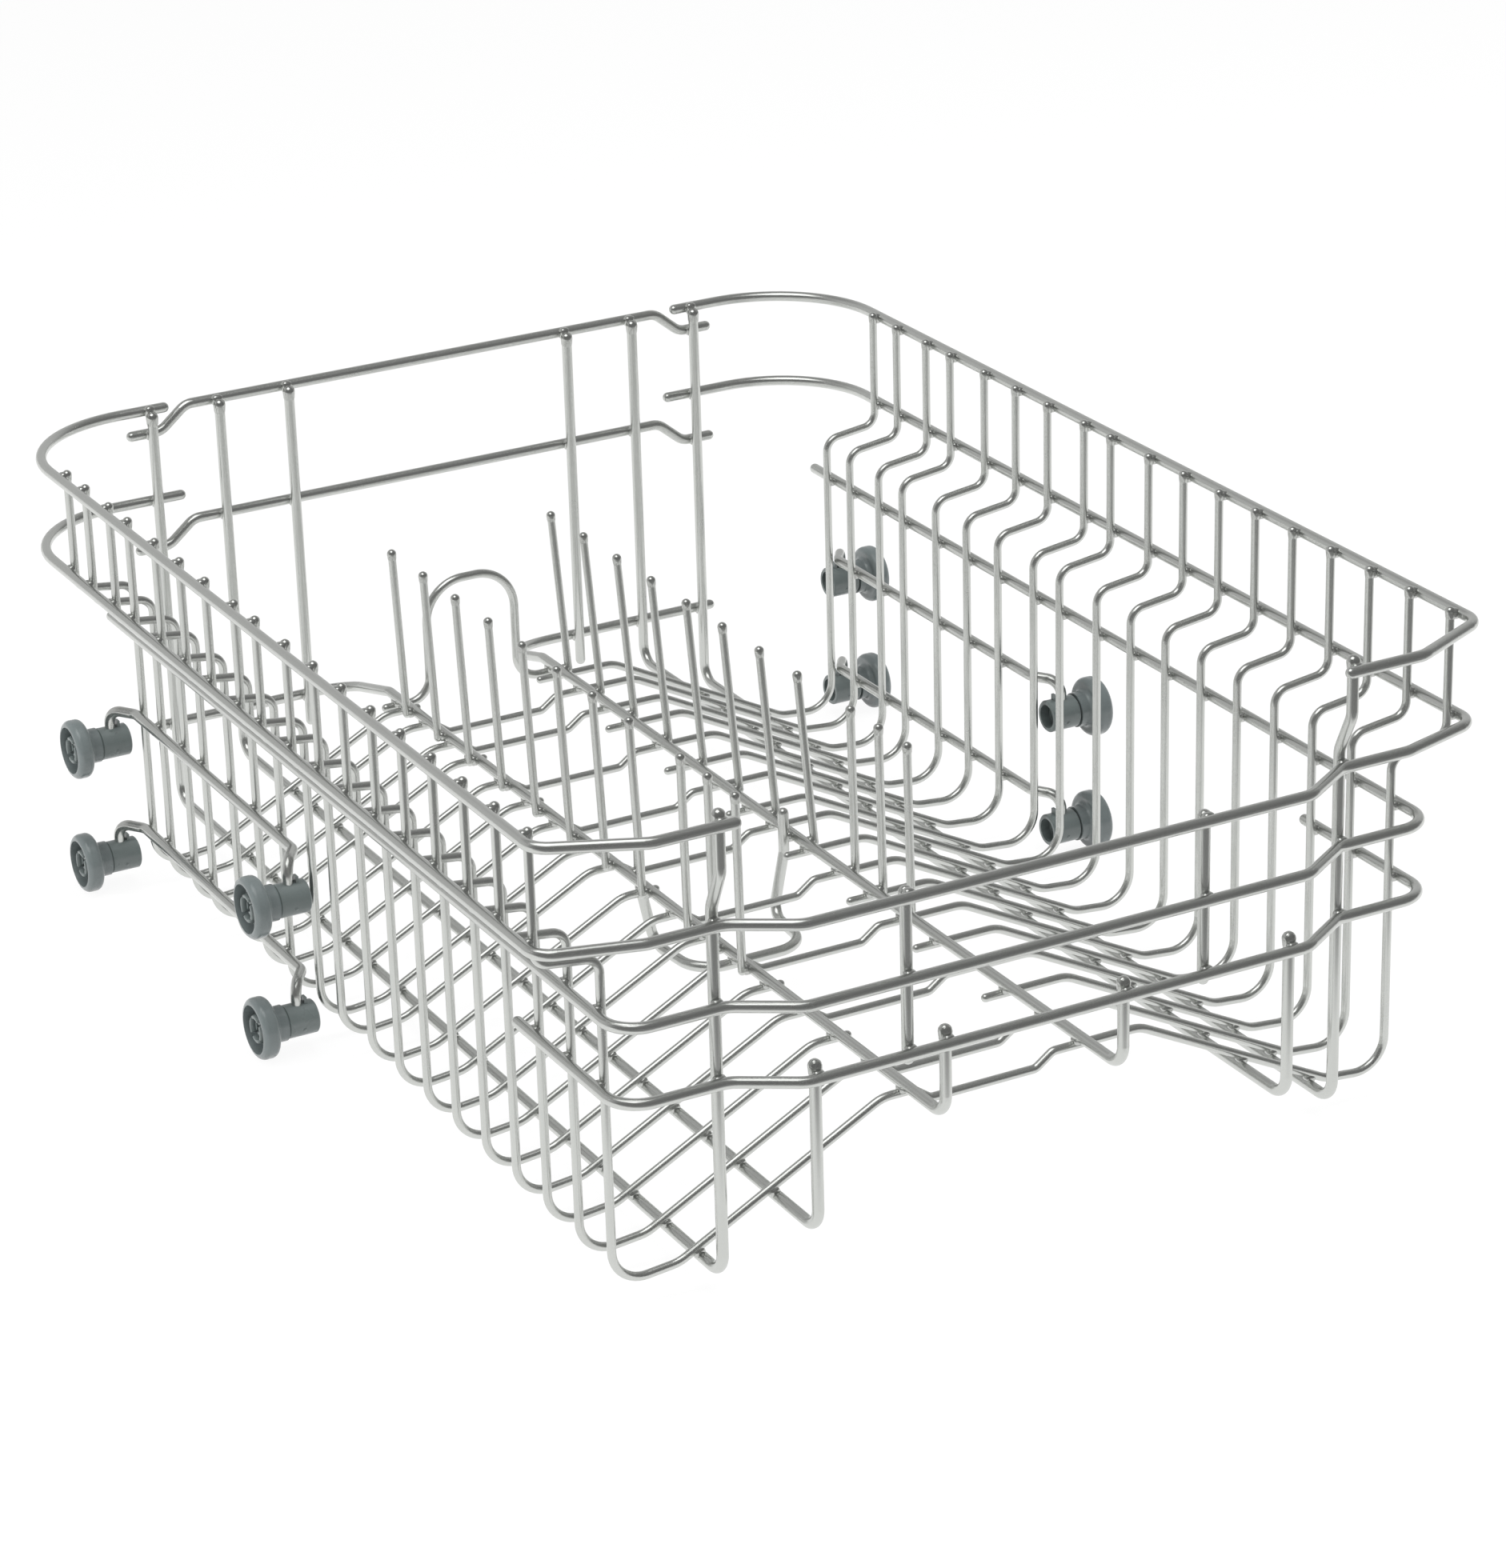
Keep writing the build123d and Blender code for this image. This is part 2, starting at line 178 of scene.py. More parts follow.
# %% Welds on posts, stays, tines and legs
up = Vector((0, 0, 1))
left_runner_z = max(m.z for m in rings("left_centre_runner", (0, 0, 0), (0, 1, 0)))
back_run_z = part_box("left_centre_runner")[0].z + rim_r
lying = {}
for name in ("left_top_rim", "right_top_rim", "second_rim", "third_rim", "lower_front_wire"):
    lying[name] = [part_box(name)[0].z + rim_r]
for name in ("back_top_wire", "back_second_wire"):
    low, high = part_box(name)
    lying[name] = [low.z + rim_r, high.z - rim_r]
for name in ("left_centre_runner", "right_centre_runner"):
    lying[name] = [left_runner_z, back_run_z]
standing = [n for n in wires if n.endswith(("runner", "back_post", "front_stay", "tine_row"))]
standing.append("hanging_loop")
for name, levels in lying.items():
    for level in levels:
        for post in standing:
            low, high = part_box(post)
            if post == name or not low.z < level < high.z:
                continue
            radius = wire_r if post in tine_rows else rim_r
            for middle in rings(post, (0, 0, level), up):
                touch = against(middle, radius, name)
                if touch:
                    welds["tine" if post in tine_rows else "post"].append((*touch, up))
arch_y = sum(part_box("rear_arch")[i].y for i in (0, 1)) / 2
for name in ("left_centre_runner", "right_centre_runner"):
    for middle in rings(name, (0, arch_y, 0), (0, 1, 0)):
        touch = against(middle, rim_r, "rear_arch")
        if touch:
            welds["post"].append((*touch, Vector((0, 1, 0))))
print({row: len(found) for row, found in welds.items()})

# %% [markdown]
# A spot weld squeezes two wires a little way into each other, and the coat then pools in the four
# nooks of the crossing. A small pillow lying between the wires shows just that: its corners fill the
# nooks and the rest is hidden. A ball would show on only two sides. Each pillow is a cube with its
# edges beveled, laid along the wires and made a little larger or smaller than the last one.

# %% Weld pillows
chance = random.Random(4)
pillow_round = 0.62
pillow_thick = 0.8
pillow_share = 1.1
pillow_spread = (0.92, 1.1)


def turned_to(normal, along):
    """A turn that takes X along one wire and Z along the line between the two."""
    side = normal.cross(along).normalized()
    along = side.cross(normal).normalized()
    turn = Matrix.Identity(3)
    turn.col[0], turn.col[1], turn.col[2] = along, side, normal
    return turn.to_4x4()


def add_pillow(bm, place, normal, along, size):
    """One pillow of about the given half size, flat between the two wires."""
    cube = bmesh.ops.create_cube(bm, size=2)["verts"]
    edges = list({e for v in cube for e in v.link_edges})
    made = bmesh.ops.bevel(
        bm, geom=edges, offset=pillow_round, segments=2, profile=0.5, affect="EDGES"
    )
    corners = list({v for f in made["faces"] for v in f.verts})
    swell = chance.uniform(*pillow_spread)
    stretch = Matrix.Diagonal((size * swell, size / swell, pillow_thick * size, 1))
    move = Matrix.Translation(place) @ turned_to(normal, along) @ stretch
    bmesh.ops.transform(bm, matrix=move, verts=corners)


def placed(bm, name):
    """A mesh object at the origin, made from a bmesh that is then freed."""
    mesh = bpy.data.meshes.new(name)
    bm.to_mesh(mesh)
    bm.free()
    piece = bpy.data.objects.new(name, mesh)
    bpy.context.scene.collection.objects.link(piece)
    return piece


def in_order(parts, key):
    """Verts or faces of a bmesh put in the order of a key, so that every run numbers them alike."""
    for index, part in enumerate(sorted(parts, key=key)):
        part.index = index
    parts.sort()


def finished(bm, name, body):
    """A placed object, smooth all over, that rides on a body."""
    bmesh.ops.recalc_face_normals(bm, faces=bm.faces)
    for face in bm.faces:
        face.smooth = True
    in_order(bm.verts, lambda v: v.co[:])
    in_order(bm.faces, lambda f: sorted(v.index for v in f.verts))
    piece = placed(bm, name)
    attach(piece, body)
    print(name, len(piece.data.polygons), "faces")
    return piece


coated = []
for row, found in welds.items():
    mean_r = (wire_r + rim_r) / 2 if row != "post" else rim_r
    bm = bmesh.new()
    for place, normal, along in found:
        add_pillow(bm, place, normal, along, mean_r * pillow_share)
    coated.append(finished(bm, f"{row}_weld_pillows", "basket"))

# %% [markdown]
# Wire that stands free when the rack is dipped keeps a drop of coat at its tip. On the tines and the
# posts it reads as a small ball, a fifth wider than the wire, that runs out into it below. A sphere
# whose lower half is drawn out does it, and its top stays at the height of the solid's own tip.

# %% Coat drops on the tips
drop_swell = 1.22
drop_tail = 2.6
drop_waist = 0.05
drop_taper = 0.06
below_tip = 2.5e-3
tip_step = 3 * rim_r
tip_near = 2 * rim_r


def tips_of(node, level):
    """Tip and direction of each upright end that a level cut finds."""
    found = []
    points = [v.co for v in nodes[node].data.vertices]
    lower = rings(node, (0, 0, level - tip_step), up)
    for middle in rings(node, (0, 0, level), up):
        top = max(co.z for co in points if (co - middle).to_2d().length < tip_near)
        below = min(lower, key=lambda other: (other - middle).length)
        direction = (middle - below).normalized()
        found.append((middle + direction * (top - middle.z) / direction.z, direction))
    return found


def top_tips(names, radius):
    """Tip, direction and wire radius of each end at the top of the named nodes."""
    found = []
    for node in names:
        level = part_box(node)[1].z - below_tip
        found += [(*t, radius) for t in tips_of(node, level)]
    return found


def add_drop(bm, tip, direction, radius):
    """One drop whose top is at the tip and whose tail runs back along the wire."""
    ball = bmesh.ops.create_uvsphere(bm, u_segments=14, v_segments=8, radius=radius)["verts"]
    tail = [v for v in ball if v.co.z < -radius * drop_waist]
    bmesh.ops.scale(bm, verts=tail, vec=(1, 1, drop_tail))
    for v in tail:
        share = min(1.0, -v.co.z / (radius * drop_tail))
        narrow = 1 - drop_taper * share
        v.co.x *= narrow
        v.co.y *= narrow
    turn = direction.to_track_quat("Z", "Y").to_matrix().to_4x4()
    move = Matrix.Translation(tip - direction * radius) @ turn
    bmesh.ops.transform(bm, matrix=move, verts=ball)


tips = {
    "cross_wire_drops": top_tips(cross_wires, wire_r),
    "tine_drops": top_tips(tine_rows, wire_r),
    "post_drops": [],
}
back_tip_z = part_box("left_back_post")[1].z
for node in [n for n in wires if n.endswith(("outer_runner", "inner_runner", "back_post"))]:
    tips["post_drops"] += [(*t, rim_r) for t in tips_of(node, back_tip_z - below_tip)]
stub_tip_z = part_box("left_centre_runner")[1].z
for node in [n for n in wires if n.endswith(("centre_runner", "inner_runner"))]:
    front = [t for t in tips_of(node, stub_tip_z - below_tip) if t[0].y < 0]
    tips["post_drops"] += [(*t, rim_r) for t in front]
tips["post_drops"] += top_tips(("left_front_stay", "right_front_stay"), rim_r)
for name, ends in tips.items():
    bm = bmesh.new()
    for tip, direction, radius in ends:
        add_drop(bm, tip, direction, radius * drop_swell)
    coated.append(finished(bm, name, "basket"))
print({name: len(ends) for name, ends in tips.items()})

# %% [markdown]
# Each roller's barrel is moulded, and the gate that filled its mould leaves a small round mark on the
# front. It is a flattened ball, half sunk into the barrel, half way between the barrel's inner end and
# the wheel.

# %% Gate marks on the barrels
gate_r = 0.75e-3
gate_flat = 0.4
gate_fall = math.radians(18)
outward = Vector((0, -math.cos(gate_fall), -math.sin(gate_fall)))
flatten = Matrix.Diagonal((1, 1, gate_flat, 1))
bm = bmesh.new()
for name in sockets:
    low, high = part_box(name)
    wheel_low, wheel_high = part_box(name.replace("_socket", "_wheel"))
    on_right = low.x + high.x > 0
    barrel_x = (low.x + wheel_low.x if on_right else high.x + wheel_high.x) / 2
    axle = Vector((barrel_x, (wheel_low.y + wheel_high.y) / 2, (wheel_low.z + wheel_high.z) / 2))
    beyond = axle + outward * (wheel_high.z - wheel_low.z)
    spot, normal, _, _ = tree_of(name).find_nearest(beyond)
    ball = bmesh.ops.create_uvsphere(bm, u_segments=10, v_segments=6, radius=gate_r)["verts"]
    turn = normal.to_track_quat("Z", "Y").to_matrix().to_4x4() @ flatten
    bmesh.ops.transform(bm, matrix=Matrix.Translation(spot) @ turn, verts=ball)
gate_marks = finished(bm, "barrel_gate_marks", "basket")

# %% [markdown]
# In the recess of each wheel stand the heads of four snap fingers, with a cross of slots between them.
# They belong to the fixed barrel, so they stay still while the wheel turns, and they keep clear of the
# recess floor and its wall. Each head starts as a block that is cut into slices along one side and bent
# round the axle. Its outer end slopes, and its edges are broken.

# %% Heads of the snap fingers
head_r, head_bore = 6.0e-3, 4.1e-3
head_slot = 1.5e-3
head_lead = 0.6e-3
head_lift = 0.4e-3
head_sink = 0.6e-3
head_edge = 0.25e-3
head_probe = 1.2 * head_r
quarter_turn = math.pi / 2
sharp_from = math.radians(50)


def add_head(bm, axle, base_x, end_x, middle_angle):
    """One finger's head round the axle, from its base in the recess to its free end."""
    head = bmesh.new()
    bmesh.ops.create_cube(head, size=2)
    sliced = [e for e in head.edges if abs(e.verts[0].co.y - e.verts[1].co.y) > 1]
    bmesh.ops.subdivide_edges(head, edges=sliced, cuts=3, use_grid_fill=True)
    for v in head.verts:
        outward, turn, away = v.co
        radius = head_bore if away < 0 else head_r - (head_lead if outward > 0 else 0)
        angle = middle_angle + turn * (quarter_turn / 2 - math.asin(head_slot / 2 / radius))
        x = end_x if outward > 0 else base_x
        v.co = (x, axle.y + radius * math.cos(angle), axle.z + radius * math.sin(angle))
    bmesh.ops.recalc_face_normals(head, faces=head.faces)
    sharp = [e for e in head.edges if e.calc_face_angle(0) > sharp_from]
    bmesh.ops.bevel(head, geom=sharp, offset=head_edge, segments=1, profile=0.5, affect="EDGES")
    mesh = bpy.data.meshes.new("head")
    head.to_mesh(mesh)
    head.free()
    bm.from_mesh(mesh)
    bpy.data.meshes.remove(mesh)


bm = bmesh.new()
for name in wheels:
    low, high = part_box(name)
    out = 1 if low.x + high.x > 0 else -1
    face_x = high.x if out > 0 else low.x
    axle = Vector((face_x, (low.y + high.y) / 2, (low.z + high.z) / 2))
    probe = axle + Vector((out * head_r, 0, head_probe))
    floor_point = tree_of(name).ray_cast(probe, Vector((-out, 0, 0)))[0]
    base_x = floor_point.x + out * head_lift
    end_x = face_x - out * head_sink
    for quarter in range(4):
        add_head(bm, axle, base_x, end_x, quarter * quarter_turn)
finger_heads = finished(bm, "snap_finger_heads", "basket")

# %% [markdown]
# All the finishes here vary in the same three ways: the tone drifts slowly, fine specks sit in it, and
# the surface is a little uneven. One node group gives a colour, a roughness and a height for that, and
# each material places it with its own sizes and tones. It reads Object coordinates, which on these
# pieces are metres in the frame, so the grain has its true size on every piece.

# %% A shared group for tone, specks and unevenness
group = bpy.data.node_groups.new("tone_and_grain", "ShaderNodeTree")
for name, kind, value in (
    ("Tone", "NodeSocketColor", (0.5, 0.5, 0.5, 1)),
    ("Drift Tone", "NodeSocketColor", (0.4, 0.4, 0.4, 1)),
    ("Speck Tone", "NodeSocketColor", (0.7, 0.7, 0.7, 1)),
    ("Drift Scale", "NodeSocketFloat", 40.0),
    ("Speck Scale", "NodeSocketFloat", 3000.0),
    ("Speck Share", "NodeSocketFloat", 0.2),
    ("Peel Scale", "NodeSocketFloat", 900.0),
    ("Smooth", "NodeSocketFloat", 0.28),
    ("Rough", "NodeSocketFloat", 0.4),
):
    socket = group.interface.new_socket(name, in_out="INPUT", socket_type=kind)
    socket.default_value = value
for name, kind in (
    ("Color", "NodeSocketColor"),
    ("Roughness", "NodeSocketFloat"),
    ("Height", "NodeSocketFloat"),
):
    group.interface.new_socket(name, in_out="OUTPUT", socket_type=kind)


def add_node(tree, kind, x, y, **settings):
    """A shader node at a place in the node editor, with its settings."""
    node = tree.nodes.new(kind)
    node.location = (x, y)
    for key, value in settings.items():
        setattr(node, key, value)
    return node


def link_all(tree, *pairs):
    """Links from each pair's output to its input."""
    for source, target in pairs:
        tree.links.new(source, target)


given = add_node(group, "NodeGroupInput", -900, 0)
coords = add_node(group, "ShaderNodeTexCoord", -900, -400)
drift = add_node(group, "ShaderNodeTexNoise", -640, 200)
drift.inputs["Detail"].default_value = 3.0
specks = add_node(group, "ShaderNodeTexVoronoi", -640, -80)
peel = add_node(group, "ShaderNodeTexNoise", -640, -380)
peel.inputs["Detail"].default_value = 2.0
for texture, scale in ((drift, "Drift Scale"), (specks, "Speck Scale"), (peel, "Peel Scale")):
    link_all(
        group,
        (coords.outputs["Object"], texture.inputs["Vector"]),
        (given.outputs[scale], texture.inputs["Scale"]),
    )
drifting = add_node(group, "ShaderNodeMix", -380, 200, data_type="RGBA")
speck_pick = add_node(group, "ShaderNodeSeparateColor", -460, -80)
speck_mask = add_node(group, "ShaderNodeMath", -280, -80, operation="MULTIPLY")
specked = add_node(group, "ShaderNodeMix", -100, 120, data_type="RGBA")
rough = add_node(group, "ShaderNodeMapRange", -100, -160)
handed = add_node(group, "NodeGroupOutput", 160, 0)
link_all(
    group,
    (drift.outputs["Fac"], drifting.inputs["Factor"]),
    (given.outputs["Tone"], drifting.inputs["A"]),
    (given.outputs["Drift Tone"], drifting.inputs["B"]),
    (specks.outputs["Color"], speck_pick.inputs["Color"]),
    (speck_pick.outputs["Red"], speck_mask.inputs[0]),
    (given.outputs["Speck Share"], speck_mask.inputs[1]),
    (speck_mask.outputs["Value"], specked.inputs["Factor"]),
    (drifting.outputs["Result"], specked.inputs["A"]),
    (given.outputs["Speck Tone"], specked.inputs["B"]),
    (drift.outputs["Fac"], rough.inputs["Value"]),
    (given.outputs["Smooth"], rough.inputs["To Min"]),
    (given.outputs["Rough"], rough.inputs["To Max"]),
    (specked.outputs["Result"], handed.inputs["Color"]),
    (rough.outputs["Result"], handed.inputs["Roughness"]),
    (peel.outputs["Fac"], handed.inputs["Height"]),
)
print("group sockets:", [s.name for s in group.interface.items_tree])

# %% [markdown]
# The coat is a grey nylon full of fine metal powder. It mirrors its surroundings softly, as satin metal
# does, so Metallic is close to one and the roughness is that of a smooth paint. In the welds and the tip
# drops the coat is thicker, which makes it a little darker and glossier. The rollers are plain grey
# plastic with a thin gloss, and running has polished the wheels a little more than the fixed barrels.

# %% Finishes
gloss_roughness = 0.2


def finish_of(name, metallic, gloss, peel_depth, **values):
    """A material with the shared group's grain, where each value sets the group input of that name."""
    material = bpy.data.materials.new(name)
    material.use_nodes = True
    tree = material.node_tree
    shader = tree.nodes["Principled BSDF"]
    grain = add_node(tree, "ShaderNodeGroup", -420, 100, node_tree=group)
    for socket, value in values.items():
        grain.inputs[socket.replace("_", " ").title()].default_value = value
    bump = add_node(tree, "ShaderNodeBump", -200, -220)
    bump.inputs["Distance"].default_value = peel_depth
    bump.inputs["Strength"].default_value = 1.0
    shader.inputs["Metallic"].default_value = metallic
    shader.inputs["Coat Weight"].default_value = gloss
    shader.inputs["Coat Roughness"].default_value = gloss_roughness
    link_all(
        tree,
        (grain.outputs["Color"], shader.inputs["Base Color"]),
        (grain.outputs["Roughness"], shader.inputs["Roughness"]),
        (grain.outputs["Height"], bump.inputs["Height"]),
        (bump.outputs["Normal"], shader.inputs["Normal"]),
    )
    return material


wire_coat = finish_of(
    "wire_coat", metallic=0.97, gloss=0.0, peel_depth=2e-6,
    tone=(0.62, 0.632, 0.61, 1), drift_tone=(0.56, 0.572, 0.55, 1), speck_tone=(0.72, 0.73, 0.71, 1),
    drift_scale=45.0, speck_scale=4200.0, speck_share=0.15, peel_scale=1100.0, smooth=0.22, rough=0.3,
)
pooled_coat = finish_of(
    "pooled_coat", metallic=0.96, gloss=0.15, peel_depth=2e-6,
    tone=(0.54, 0.55, 0.53, 1), drift_tone=(0.46, 0.47, 0.45, 1), speck_tone=(0.62, 0.63, 0.61, 1),
    drift_scale=160.0, speck_scale=4200.0, speck_share=0.2, peel_scale=900.0, smooth=0.15, rough=0.22,
)
wheel_plastic = finish_of(
    "wheel_plastic", metallic=0.0, gloss=0.3, peel_depth=12e-6,
    tone=(0.115, 0.134, 0.134, 1), drift_tone=(0.1, 0.117, 0.118, 1), speck_tone=(0.2, 0.23, 0.23, 1),
    drift_scale=120.0, speck_scale=5200.0, speck_share=0.12, peel_scale=2600.0, smooth=0.2, rough=0.3,
)
socket_plastic = finish_of(
    "socket_plastic", metallic=0.0, gloss=0.2, peel_depth=16e-6,
    tone=(0.11, 0.13, 0.127, 1), drift_tone=(0.096, 0.114, 0.112, 1), speck_tone=(0.2, 0.23, 0.23, 1),
    drift_scale=150.0, speck_scale=5200.0, speck_share=0.12, peel_scale=2200.0, smooth=0.24, rough=0.34,
)


def dress(piece, material):
    """One material on a piece."""
    piece.data.materials.clear()
    piece.data.materials.append(material)


for name in wires:
    dress(nodes[name], wire_coat)
for name in wheels:
    dress(nodes[name], wheel_plastic)
for name in sockets:
    dress(nodes[name], socket_plastic)
for piece in coated:
    dress(piece, pooled_coat)
for piece in (gate_marks, finger_heads):
    dress(piece, socket_plastic)
print("materials:", [m.name for m in bpy.data.materials])

# %% [markdown]
# The studio is a white card in a dim room. The card lies under the basket and ends a little way in
# front of it. To the camera and in reflections most of it shines by itself, so that it stays white,
# and the rest is plain card that keeps the basket's shadow. Past the front edge of the card a
# reflection finds only the dim room, and that gives a lying wire its dark front and a standing one
# its dark top, while the feet of the posts still mirror the card and stay pale.

# %% Floor card
scene = bpy.context.scene
scene.view_settings.view_transform = "Standard"
floor_reach = 8.0
floor_drop = 0.2e-3
card_ahead = 0.12
card_front_y = cad_low.y - card_ahead
card_fade = 0.06
card_tone = 0.9
dim_share = 0.13
card_glow = 0.93
bm = bmesh.new()
bmesh.ops.create_grid(bm, x_segments=8, y_segments=8, size=floor_reach)
bmesh.ops.translate(bm, verts=bm.verts, vec=(0, 0, cad_low.z - floor_drop))
floor = placed(bm, "floor_card")

card = bpy.data.materials.new("white_card")
card.use_nodes = True
card_tree = card.node_tree
card_tree.nodes.clear()
plain = add_node(card_tree, "ShaderNodeBsdfDiffuse", -300, 120)
plain.inputs["Color"].default_value = (card_tone, card_tone, card_tone, 1)
shine = add_node(card_tree, "ShaderNodeEmission", -300, -60)
card_ray = add_node(card_tree, "ShaderNodeLightPath", -1000, 120)
where = add_node(card_tree, "ShaderNodeTexCoord", -1000, -260)
axes = add_node(card_tree, "ShaderNodeSeparateXYZ", -820, -260)
edge = add_node(card_tree, "ShaderNodeMapRange", -640, -260, interpolation_type="SMOOTHSTEP")
edge.inputs["From Min"].default_value = card_front_y - card_fade
edge.inputs["From Max"].default_value = card_front_y + card_fade
edge.inputs["To Min"].default_value = dim_share
edge.inputs["To Max"].default_value = 1.0
card_level = add_node(card_tree, "ShaderNodeMath", -460, -100, operation="MAXIMUM")
clear_ray = add_node(card_tree, "ShaderNodeMath", -760, 300, operation="MAXIMUM")
card_seen = add_node(card_tree, "ShaderNodeMath", -580, 240, operation="MAXIMUM")
share = add_node(card_tree, "ShaderNodeMath", -400, 240, operation="MULTIPLY")
share.inputs[1].default_value = card_glow
both = add_node(card_tree, "ShaderNodeMixShader", -60, 60)
card_end = add_node(card_tree, "ShaderNodeOutputMaterial", 160, 60)
link_all(
    card_tree,
    (where.outputs["Object"], axes.inputs["Vector"]),
    (axes.outputs["Y"], edge.inputs["Value"]),
    (edge.outputs["Result"], card_level.inputs[0]),
    (card_ray.outputs["Is Camera Ray"], card_level.inputs[1]),
    (card_level.outputs["Value"], shine.inputs["Strength"]),
    (card_ray.outputs["Is Camera Ray"], clear_ray.inputs[0]),
    (card_ray.outputs["Is Transmission Ray"], clear_ray.inputs[1]),
    (clear_ray.outputs["Value"], card_seen.inputs[0]),
    (card_ray.outputs["Is Glossy Ray"], card_seen.inputs[1]),
    (card_seen.outputs["Value"], share.inputs[0]),
    (share.outputs["Value"], both.inputs["Fac"]),
    (plain.outputs["BSDF"], both.inputs[1]),
    (shine.outputs["Emission"], both.inputs[2]),
    (both.outputs["Shader"], card_end.inputs["Surface"]),
)
floor.data.materials.append(card)
print("card ends at y", round(card_front_y, 3), "floor at z", round(cad_low.z, 5))

# %% [markdown]
# The world behind the card is white wherever the camera looks at it, and gives a little light from all
# round. What the coat mirrors is the dim room: a large shell that only reflections see. It is dark grey
# in front, a little paler overhead and mid grey low down at the back, so a lying wire has a dark middle
# and a grey back edge.

# %% World and room shell
world_white = 0.95
world_fill = 0.35
world = bpy.data.worlds.new("white_world")
scene.world = world
world.use_nodes = True
world_tree = world.node_tree
world_tree.nodes.clear()
world_ray = add_node(world_tree, "ShaderNodeLightPath", -900, 0)
mirrored_ray = add_node(world_tree, "ShaderNodeMath", -680, -80, operation="MAXIMUM")
world_seen = add_node(world_tree, "ShaderNodeMath", -500, 0, operation="MAXIMUM")
strength = add_node(world_tree, "ShaderNodeMapRange", -320, 0)
strength.inputs["To Min"].default_value = world_fill
strength.inputs["To Max"].default_value = world_white
white = add_node(world_tree, "ShaderNodeBackground", -120, 0)
white.inputs["Color"].default_value = (1, 1, 1, 1)
world_end = add_node(world_tree, "ShaderNodeOutputWorld", 60, 0)
link_all(
    world_tree,
    (world_ray.outputs["Is Glossy Ray"], mirrored_ray.inputs[0]),
    (world_ray.outputs["Is Transmission Ray"], mirrored_ray.inputs[1]),
    (world_ray.outputs["Is Camera Ray"], world_seen.inputs[0]),
    (mirrored_ray.outputs["Value"], world_seen.inputs[1]),
    (world_seen.outputs["Value"], strength.inputs["Value"]),
    (strength.outputs["Result"], white.inputs["Strength"]),
    (white.outputs["Background"], world_end.inputs["Surface"]),
)

shell_r = 6.0
front_level, zenith_level = 0.17, 0.24
back_low_level, back_high_level = 0.58, 0.26
rise_from, front_rise_to, back_rise_to = 0.5 * shell_r, shell_r, 0.85 * shell_r
back_from, back_to = -0.3 * shell_r, 0.5 * shell_r
bm = bmesh.new()
bmesh.ops.create_uvsphere(bm, u_segments=48, v_segments=24, radius=shell_r)
shell = placed(bm, "room_shell")
for kind in ("camera", "diffuse", "transmission", "volume_scatter", "shadow"):
    setattr(shell, f"visible_{kind}", False)

walls = bpy.data.materials.new("dim_room")
walls.use_nodes = True
walls.cycles.emission_sampling = "NONE"
room_tree = walls.node_tree
room_tree.nodes.clear()


def ramp(x, y, start, end, low, high):
    """A smooth step between two levels, from one place to another along an axis of the shell."""
    node = add_node(room_tree, "ShaderNodeMapRange", x, y, interpolation_type="SMOOTHSTEP")
    for name, value in (("From Min", start), ("From Max", end), ("To Min", low), ("To Max", high)):
        node.inputs[name].default_value = value
    return node


toward = add_node(room_tree, "ShaderNodeTexCoord", -900, 0)
split = add_node(room_tree, "ShaderNodeSeparateXYZ", -720, 0)
front = ramp(-500, 160, rise_from, front_rise_to, front_level, zenith_level)
back = ramp(-500, -100, rise_from, back_rise_to, back_low_level, back_high_level)
backness = ramp(-500, -360, back_from, back_to, 0, 1)
room_level = add_node(room_tree, "ShaderNodeMix", -280, 0)
glow = add_node(room_tree, "ShaderNodeEmission", -100, 0)
room_end = add_node(room_tree, "ShaderNodeOutputMaterial", 80, 0)
link_all(
    room_tree,
    (toward.outputs["Object"], split.inputs["Vector"]),
    (split.outputs["Z"], front.inputs["Value"]),
    (split.outputs["Z"], back.inputs["Value"]),
    (split.outputs["Y"], backness.inputs["Value"]),
    (backness.outputs["Result"], room_level.inputs["Factor"]),
    (front.outputs["Result"], room_level.inputs["A"]),
    (back.outputs["Result"], room_level.inputs["B"]),
    (room_level.outputs["Result"], glow.inputs["Strength"]),
    (glow.outputs["Emission"], room_end.inputs["Surface"]),
)
shell.data.materials.append(walls)
print("room levels:", front_level, zenith_level, back_low_level, back_high_level)

# %% [markdown]
# Four soft boxes light the basket: a wide one overhead, a tall one at each side and a low one in
# front. They are large, so the shadows stay soft. The coat mirrors only the card and the room, which
# keeps it satin: the boxes are left out of its reflections. A fifth, weak one high on the left is the
# exception, and it draws the bright lines along the sloping floor wires.

# %% Lamps
middle = (cad_low + cad_high) / 2


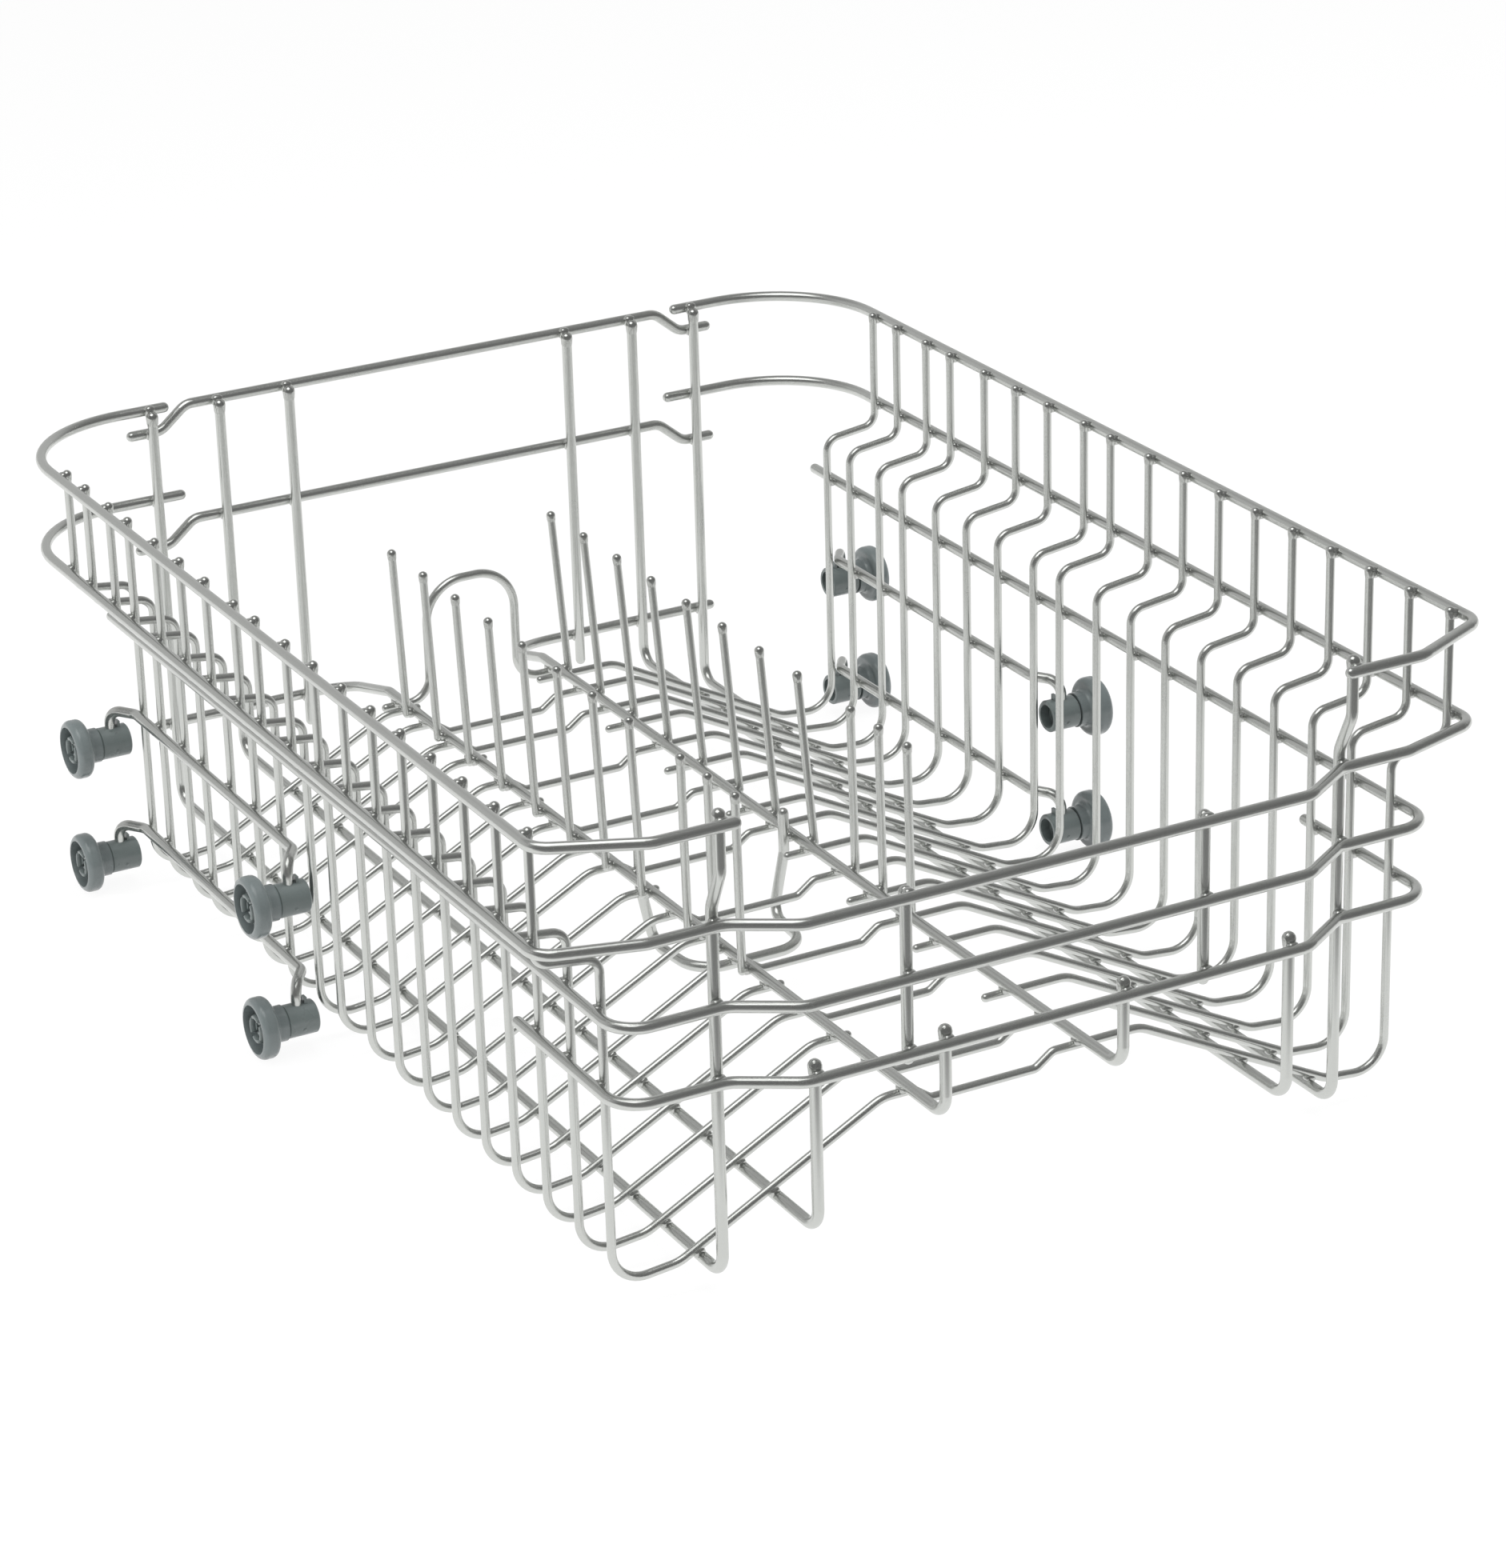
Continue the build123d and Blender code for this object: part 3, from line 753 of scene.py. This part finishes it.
def soft_box(name, place, size, power, mirrored=False):
    """A rectangular lamp aimed at the middle of the basket."""
    lamp = bpy.data.lights.new(name, "AREA")
    lamp.shape = "RECTANGLE"
    lamp.size, lamp.size_y = size
    lamp.energy = power
    holder = bpy.data.objects.new(name, lamp)
    holder.location = place
    holder.rotation_euler = (middle - Vector(place)).to_track_quat("-Z", "Y").to_euler()
    holder.visible_glossy = mirrored
    scene.collection.objects.link(holder)


soft_box("overhead_box", (0.1, 0.15, 1.7), (1.1, 0.8), 17.0)
soft_box("left_box", (-1.5, 0.2, 0.9), (0.5, 1.2), 20.0)
soft_box("right_box", (1.5, -0.1, 0.9), (0.5, 1.2), 16.0)
soft_box("front_box", (-0.3, -1.7, 0.7), (1.2, 0.5), 14.0)
soft_box("window_box", (-0.45, -0.17, 1.8), (1.35, 1.25), 10.5, mirrored=True)

# %% [markdown]
# The camera stands where the photograph was taken from: a little left of the open front, looking down
# by 23 degrees with a long lens, and turned by two degrees about its own axis. Its middle isn't the
# middle of the frame, and a small shift makes up for that.

# %% Camera
frame_width, frame_height = 1882, 1960
focal_px = 6037.1
centre_px = (845.6, 971.8)
eye = Vector((-0.7809, -1.4992, 0.8023))
turn_right, look_down, roll = (math.radians(a) for a in (27.0067, 23.1096, -2.0455))
lens = bpy.data.cameras.new("camera")
lens.sensor_width = 36.0
lens.sensor_fit = "AUTO"
longer_side = max(frame_width, frame_height)
lens.lens = focal_px * lens.sensor_width / longer_side
lens.shift_x = (frame_width / 2 - centre_px[0]) / longer_side
lens.shift_y = (centre_px[1] - frame_height / 2) / longer_side
lens.clip_start, lens.clip_end = 0.05, 50.0
camera = bpy.data.objects.new("camera", lens)
aim = Matrix.Rotation(-turn_right, 4, "Z") @ Matrix.Rotation(math.pi / 2 - look_down, 4, "X")
camera.matrix_world = Matrix.Translation(eye) @ aim @ Matrix.Rotation(roll, 4, "Z")
scene.collection.objects.link(camera)
scene.camera = camera
print("lens:", round(lens.lens, 2), "mm")

# %% [markdown]
# Last, the view layer is brought up to date. The pillows, drops, marks and
# heads must stay inside the solids' own box.

# %% Bring the scene up to date
bpy.context.view_layer.update()
